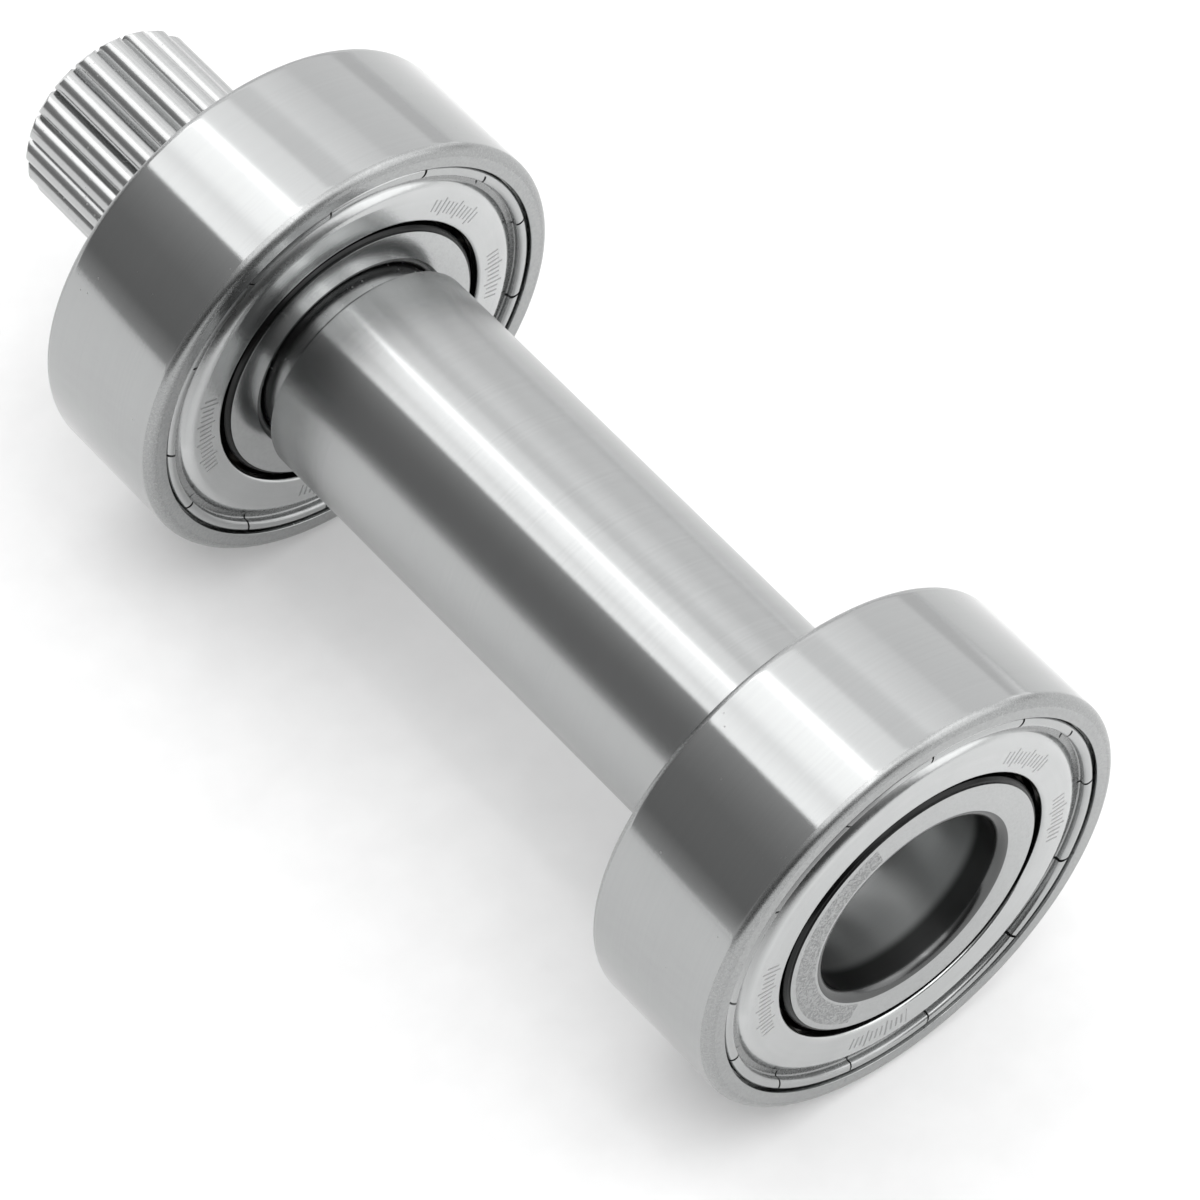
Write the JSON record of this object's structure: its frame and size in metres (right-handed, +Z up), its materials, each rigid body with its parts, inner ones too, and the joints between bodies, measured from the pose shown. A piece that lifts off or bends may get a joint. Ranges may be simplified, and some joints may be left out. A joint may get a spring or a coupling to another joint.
{
  "type": "bottom bracket",
  "caption": "Steel bottom bracket spindle with a splined end, a spacer sleeve and a shielded ball bearing near each end.",
  "frame": {"origin": "on the spindle's axis, halfway through the width of the plain-end bearing", "axes": "+Y along the spindle from the plain end to the splined end; +Z up"},
  "size_m": [0.04, 0.1008, 0.04],
  "materials": {
    "spindle_steel": "ground",
    "sleeve_steel": "bright drawn",
    "ring_steel": "ground bearing steel",
    "shield_sheet": "pressed sheet",
    "cage_sheet": "pressed sheet",
    "rivet_steel": "plain",
    "ball_steel": "polished"
  },
  "bodies": {
    "plain_end_shell_side": {"plain_end_outer_ring": "ring_steel", "plain_end_outboard_shield": "shield_sheet", "plain_end_inboard_shield": "shield_sheet"},
    "plain_end_cage": {"plain_end_cage_outboard_half": "cage_sheet", "plain_end_cage_inboard_half": "cage_sheet", "plain_end_cage_rivets": "rivet_steel"},
    "plain_end_ball_1": {"plain_end_ball_1": "ball_steel"},
    "plain_end_ball_2": {"plain_end_ball_2": "ball_steel"},
    "plain_end_ball_3": {"plain_end_ball_3": "ball_steel"},
    "plain_end_ball_4": {"plain_end_ball_4": "ball_steel"},
    "plain_end_ball_5": {"plain_end_ball_5": "ball_steel"},
    "plain_end_ball_6": {"plain_end_ball_6": "ball_steel"},
    "plain_end_ball_7": {"plain_end_ball_7": "ball_steel"},
    "plain_end_ball_8": {"plain_end_ball_8": "ball_steel"},
    "spindle_group": {"spindle": "spindle_steel", "spacer_sleeve": "sleeve_steel", "plain_end_inner_ring": "ring_steel", "splined_end_inner_ring": "ring_steel"},
    "splined_end_shell_side": {"splined_end_outer_ring": "ring_steel", "splined_end_outboard_shield": "shield_sheet", "splined_end_inboard_shield": "shield_sheet"},
    "splined_end_cage": {"splined_end_cage_outboard_half": "cage_sheet", "splined_end_cage_inboard_half": "cage_sheet", "splined_end_cage_rivets": "rivet_steel"},
    "splined_end_ball_1": {"splined_end_ball_1": "ball_steel"},
    "splined_end_ball_2": {"splined_end_ball_2": "ball_steel"},
    "splined_end_ball_3": {"splined_end_ball_3": "ball_steel"},
    "splined_end_ball_4": {"splined_end_ball_4": "ball_steel"},
    "splined_end_ball_5": {"splined_end_ball_5": "ball_steel"},
    "splined_end_ball_6": {"splined_end_ball_6": "ball_steel"},
    "splined_end_ball_7": {"splined_end_ball_7": "ball_steel"},
    "splined_end_ball_8": {"splined_end_ball_8": "ball_steel"}
  },
  "joints": [
    {"name": "spindle_spin", "type": "hinge", "parent": "plain_end_shell_side", "child": "spindle_group", "pos_m": [0, -0.00685, 0], "axis": [0, 1, 0], "continuous": true},
    {"name": "plain_end_cage_spin", "type": "hinge", "parent": "plain_end_shell_side", "child": "plain_end_cage", "pos_m": [0, -0.00685, 0], "axis": [0, 1, 0], "continuous": true},
    {"name": "splined_end_ring_spin", "type": "hinge", "parent": "spindle_group", "child": "splined_end_shell_side", "pos_m": [0, 0.06145, 0], "axis": [0, 1, 0], "continuous": true},
    {"name": "splined_end_cage_spin", "type": "hinge", "parent": "spindle_group", "child": "splined_end_cage", "pos_m": [0, 0.06145, 0], "axis": [0, 1, 0], "continuous": true},
    {"name": "plain_end_ball_1_spin", "type": "hinge", "parent": "plain_end_cage", "child": "plain_end_ball_1", "pos_m": [0.01317, 0, -0.00545], "axis": [0, 1, 0], "continuous": true},
    {"name": "plain_end_ball_2_spin", "type": "hinge", "parent": "plain_end_cage", "child": "plain_end_ball_2", "pos_m": [0.00545, 0, -0.01317], "axis": [0, 1, 0], "continuous": true},
    {"name": "plain_end_ball_3_spin", "type": "hinge", "parent": "plain_end_cage", "child": "plain_end_ball_3", "pos_m": [-0.00545, 0, -0.01317], "axis": [0, 1, 0], "continuous": true},
    {"name": "plain_end_ball_4_spin", "type": "hinge", "parent": "plain_end_cage", "child": "plain_end_ball_4", "pos_m": [-0.01317, 0, -0.00545], "axis": [0, 1, 0], "continuous": true},
    {"name": "plain_end_ball_5_spin", "type": "hinge", "parent": "plain_end_cage", "child": "plain_end_ball_5", "pos_m": [-0.01317, 0, 0.00545], "axis": [0, 1, 0], "continuous": true},
    {"name": "plain_end_ball_6_spin", "type": "hinge", "parent": "plain_end_cage", "child": "plain_end_ball_6", "pos_m": [-0.00545, 0, 0.01317], "axis": [0, 1, 0], "continuous": true},
    {"name": "plain_end_ball_7_spin", "type": "hinge", "parent": "plain_end_cage", "child": "plain_end_ball_7", "pos_m": [0.00545, 0, 0.01317], "axis": [0, 1, 0], "continuous": true},
    {"name": "plain_end_ball_8_spin", "type": "hinge", "parent": "plain_end_cage", "child": "plain_end_ball_8", "pos_m": [0.01317, 0, 0.00545], "axis": [0, 1, 0], "continuous": true},
    {"name": "splined_end_ball_1_spin", "type": "hinge", "parent": "splined_end_cage", "child": "splined_end_ball_1", "pos_m": [0.01317, 0.0683, -0.00545], "axis": [0, 1, 0], "continuous": true},
    {"name": "splined_end_ball_2_spin", "type": "hinge", "parent": "splined_end_cage", "child": "splined_end_ball_2", "pos_m": [0.00545, 0.0683, -0.01317], "axis": [0, 1, 0], "continuous": true},
    {"name": "splined_end_ball_3_spin", "type": "hinge", "parent": "splined_end_cage", "child": "splined_end_ball_3", "pos_m": [-0.00545, 0.0683, -0.01317], "axis": [0, 1, 0], "continuous": true},
    {"name": "splined_end_ball_4_spin", "type": "hinge", "parent": "splined_end_cage", "child": "splined_end_ball_4", "pos_m": [-0.01317, 0.0683, -0.00545], "axis": [0, 1, 0], "continuous": true},
    {"name": "splined_end_ball_5_spin", "type": "hinge", "parent": "splined_end_cage", "child": "splined_end_ball_5", "pos_m": [-0.01317, 0.0683, 0.00545], "axis": [0, 1, 0], "continuous": true},
    {"name": "splined_end_ball_6_spin", "type": "hinge", "parent": "splined_end_cage", "child": "splined_end_ball_6", "pos_m": [-0.00545, 0.0683, 0.01317], "axis": [0, 1, 0], "continuous": true},
    {"name": "splined_end_ball_7_spin", "type": "hinge", "parent": "splined_end_cage", "child": "splined_end_ball_7", "pos_m": [0.00545, 0.0683, 0.01317], "axis": [0, 1, 0], "continuous": true},
    {"name": "splined_end_ball_8_spin", "type": "hinge", "parent": "splined_end_cage", "child": "splined_end_ball_8", "pos_m": [0.01317, 0.0683, 0.00545], "axis": [0, 1, 0], "continuous": true}
  ],
  "couplings": [
    {"joint": "plain_end_cage_spin", "follows": "spindle_spin", "ratio": 0.38158},
    {"joint": "splined_end_cage_spin", "follows": "splined_end_ring_spin", "ratio": 0.61842},
    {"joint": "plain_end_ball_1_spin", "follows": "spindle_spin", "ratio": -1.9927},
    {"joint": "plain_end_ball_2_spin", "follows": "spindle_spin", "ratio": -1.9927},
    {"joint": "plain_end_ball_3_spin", "follows": "spindle_spin", "ratio": -1.9927},
    {"joint": "plain_end_ball_4_spin", "follows": "spindle_spin", "ratio": -1.9927},
    {"joint": "plain_end_ball_5_spin", "follows": "spindle_spin", "ratio": -1.9927},
    {"joint": "plain_end_ball_6_spin", "follows": "spindle_spin", "ratio": -1.9927},
    {"joint": "plain_end_ball_7_spin", "follows": "spindle_spin", "ratio": -1.9927},
    {"joint": "plain_end_ball_8_spin", "follows": "spindle_spin", "ratio": -1.9927},
    {"joint": "splined_end_ball_1_spin", "follows": "splined_end_ring_spin", "ratio": 1.9927},
    {"joint": "splined_end_ball_2_spin", "follows": "splined_end_ring_spin", "ratio": 1.9927},
    {"joint": "splined_end_ball_3_spin", "follows": "splined_end_ring_spin", "ratio": 1.9927},
    {"joint": "splined_end_ball_4_spin", "follows": "splined_end_ring_spin", "ratio": 1.9927},
    {"joint": "splined_end_ball_5_spin", "follows": "splined_end_ring_spin", "ratio": 1.9927},
    {"joint": "splined_end_ball_6_spin", "follows": "splined_end_ring_spin", "ratio": 1.9927},
    {"joint": "splined_end_ball_7_spin", "follows": "splined_end_ring_spin", "ratio": 1.9927},
    {"joint": "splined_end_ball_8_spin", "follows": "splined_end_ring_spin", "ratio": 1.9927}
  ]
}
